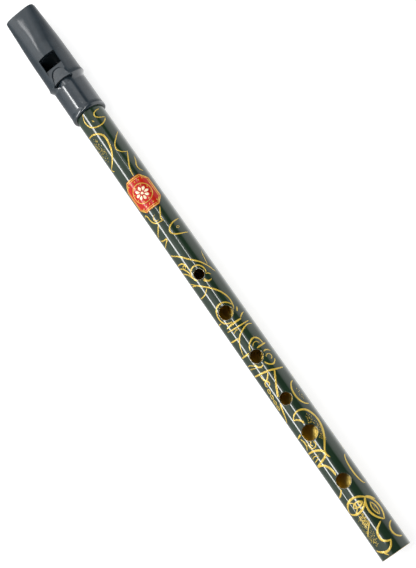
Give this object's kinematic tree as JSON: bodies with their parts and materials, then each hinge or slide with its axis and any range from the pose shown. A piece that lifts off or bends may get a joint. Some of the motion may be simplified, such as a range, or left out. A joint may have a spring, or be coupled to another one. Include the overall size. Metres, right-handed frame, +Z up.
{
  "type": "tin whistle",
  "caption": "Slim end-blown whistle: moulded beak with a windway, window and ramp, on a painted brass tube with finger holes and a push-on tuning head.",
  "frame": {"origin": "centre of the footprint on the surface the whistle lies on, half way along its length, with the window and the tone holes up", "axes": "+X runs along the bore from the mouth to the foot, +Z up through the window and the holes, +Y to the side"},
  "size_m": [0.295, 0.0186, 0.0178],
  "materials": {
    "head_plastic": "satin injection-moulded slate grey plastic with fine moulding texture and handling scratches",
    "plug_plastic": "satin slate grey moulded plastic",
    "tube_brass": "drawn brass, bare inside the bore and on the edges of the holes",
    "green_enamel": "dark green gloss enamel with a printed gold line pattern under clear lacquer",
    "gold_print": "gold line pattern printed on the enamel, and the lines of the badge, under clear lacquer",
    "adhesive": "thin amber film of soft adhesive",
    "cream_print": "cream print of the badge's rosette",
    "red_transfer": "glossy red transfer with a gold border and a plain cream rosette"
  },
  "bodies": {
    "whistle_tube": {"tube": "tube_brass", "enamel_coat": "green_enamel", "badge_transfer": "red_transfer"},
    "film": {"glue_film": "adhesive"},
    "head": {"mouthpiece": "head_plastic", "fipple_plug": "plug_plastic"}
  },
  "joints": [
    {"name": "tuning_slide", "type": "slide", "parent": "whistle_tube", "child": "film", "axis": [-1, 0, 0], "range_m": [0, 0.008]},
    {"name": "head_turn", "type": "hinge", "parent": "film", "child": "head", "pos_m": [-0.095, 0, 0.00933], "axis": [1, 0, 0], "continuous": true}
  ]
}
